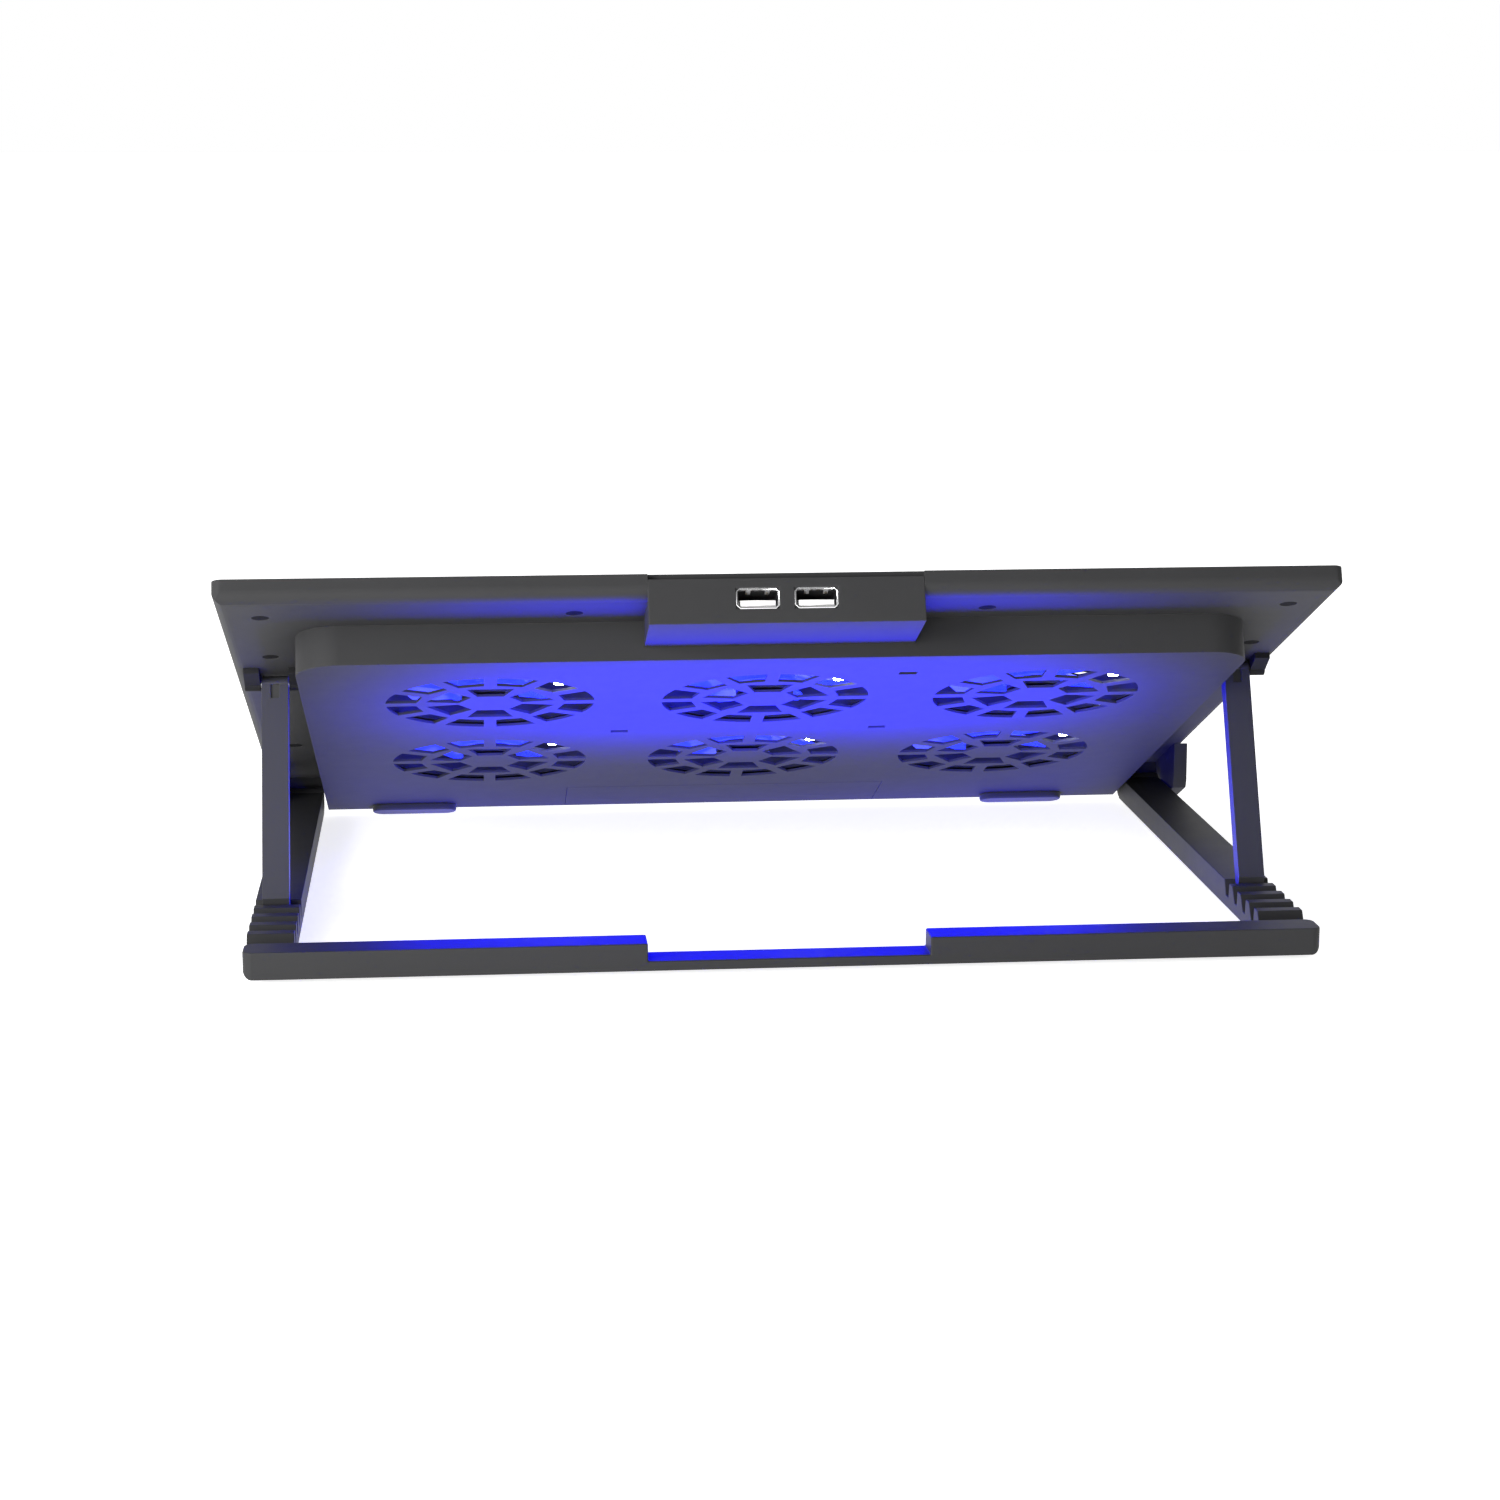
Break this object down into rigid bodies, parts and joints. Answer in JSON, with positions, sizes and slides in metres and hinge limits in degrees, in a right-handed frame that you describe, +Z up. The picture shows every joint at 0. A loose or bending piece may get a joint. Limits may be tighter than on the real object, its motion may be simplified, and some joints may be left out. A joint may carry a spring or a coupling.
{
  "type": "laptop cooling pad",
  "caption": "Tilting laptop cooling pad: a slim tray of grille-covered fans with a two-socket hub, hinged on a U-shaped notched base frame and propped by folding legs.",
  "frame": {"origin": "centre of the outline, on the surface the base frame stands on", "axes": "+X to the right of a user sitting in front of the pad, -Y towards the user, +Y towards the raised rear edge with the sockets, +Z up"},
  "size_m": [0.366, 0.2644, 0.129],
  "materials": {
    "shell_plastic": "fine matte",
    "frame_plastic": "fine matte",
    "mesh_metal": "satin black paint",
    "rubber": "matte",
    "steel": "satin",
    "socket_metal": "bright",
    "socket_insert": "white",
    "circuit_board": "green",
    "clear_blue": "clear blue",
    "led": "lit"
  },
  "bodies": {
    "base": {"base_rail_left": "frame_plastic", "base_rail_right": "frame_plastic", "base_rear_bar": "frame_plastic", "base_pads": "rubber", "hinge_pin_left": "steel", "hinge_pin_right": "steel"},
    "tray": {"tray_shell": "shell_plastic", "fan_housing": "shell_plastic", "fan_shrouds": "shell_plastic", "hinge_skirt_left": "shell_plastic", "hinge_skirt_right": "shell_plastic", "leg_bracket_left": "shell_plastic", "leg_bracket_right": "shell_plastic", "front_cover_plate": "shell_plastic", "front_feet": "rubber", "top_cover": "shell_plastic", "mesh_panel": "mesh_metal", "grip_strips": "rubber", "tray_screws": "steel", "hub_cover": "shell_plastic", "hub_board": "circuit_board", "usb_shell_left": "socket_metal", "usb_shell_right": "socket_metal", "usb_tongue_left": "socket_insert", "usb_tongue_right": "socket_insert", "fan_motor_1": "shell_plastic", "fan_motor_2": "shell_plastic", "fan_motor_3": "shell_plastic", "fan_motor_4": "shell_plastic", "fan_motor_5": "shell_plastic", "fan_motor_6": "shell_plastic", "fan_led_1": "led", "fan_led_2": "led", "fan_led_3": "led", "fan_led_4": "led", "fan_led_5": "led", "fan_led_6": "led", "leg_pin_left": "steel", "leg_pin_right": "steel", "stop_pin_left": "steel", "stop_pin_right": "steel"},
    "leg_left": {"leg_left": "frame_plastic"},
    "leg_right": {"leg_right": "frame_plastic"},
    "stop_left": {"stop_left": "shell_plastic"},
    "stop_right": {"stop_right": "shell_plastic"},
    "fan_1": {"fan_rotor_1": "clear_blue"},
    "fan_2": {"fan_rotor_2": "clear_blue"},
    "fan_3": {"fan_rotor_3": "clear_blue"},
    "fan_4": {"fan_rotor_4": "clear_blue"},
    "fan_5": {"fan_rotor_5": "clear_blue"},
    "fan_6": {"fan_rotor_6": "clear_blue"}
  },
  "joints": [
    {"name": "tray_tilt", "type": "hinge", "parent": "base", "child": "tray", "pos_m": [0, -0.11552, 0.007], "axis": [1, 0, 0], "range_deg": [0, 60]},
    {"name": "leg_left_fold", "type": "hinge", "parent": "tray", "child": "leg_left", "pos_m": [0.1688, 0.03487, 0.08067], "axis": [1, 0, 0], "range_deg": [0, 90]},
    {"name": "leg_right_fold", "type": "hinge", "parent": "tray", "child": "leg_right", "pos_m": [-0.1688, 0.03487, 0.08067], "axis": [1, 0, 0], "range_deg": [0, 90]},
    {"name": "stop_left_flip", "type": "hinge", "parent": "tray", "child": "stop_left", "pos_m": [0.1, -0.1249, 0.02173], "axis": [1, 0, 0], "range_deg": [0, 90]},
    {"name": "stop_right_flip", "type": "hinge", "parent": "tray", "child": "stop_right", "pos_m": [-0.1, -0.1249, 0.02173], "axis": [1, 0, 0], "range_deg": [0, 90]},
    {"name": "fan_1_spin", "type": "hinge", "parent": "tray", "child": "fan_1", "pos_m": [0.095, 0.04449, 0.07887], "axis": [0, -0.4003, 0.9164], "continuous": true},
    {"name": "fan_2_spin", "type": "hinge", "parent": "tray", "child": "fan_2", "pos_m": [0, 0.04449, 0.07887], "axis": [0, -0.4003, 0.9164], "continuous": true},
    {"name": "fan_3_spin", "type": "hinge", "parent": "tray", "child": "fan_3", "pos_m": [-0.095, 0.04449, 0.07887], "axis": [0, -0.4003, 0.9164], "continuous": true},
    {"name": "fan_4_spin", "type": "hinge", "parent": "tray", "child": "fan_4", "pos_m": [0.095, -0.04183, 0.04116], "axis": [0, -0.4003, 0.9164], "continuous": true},
    {"name": "fan_5_spin", "type": "hinge", "parent": "tray", "child": "fan_5", "pos_m": [0, -0.04183, 0.04116], "axis": [0, -0.4003, 0.9164], "continuous": true},
    {"name": "fan_6_spin", "type": "hinge", "parent": "tray", "child": "fan_6", "pos_m": [-0.095, -0.04183, 0.04116], "axis": [0, -0.4003, 0.9164], "continuous": true}
  ],
  "couplings": [
    {"joint": "leg_left_fold", "follows": "tray_tilt", "ratio": 1.5},
    {"joint": "leg_right_fold", "follows": "tray_tilt", "ratio": 1.5}
  ]
}
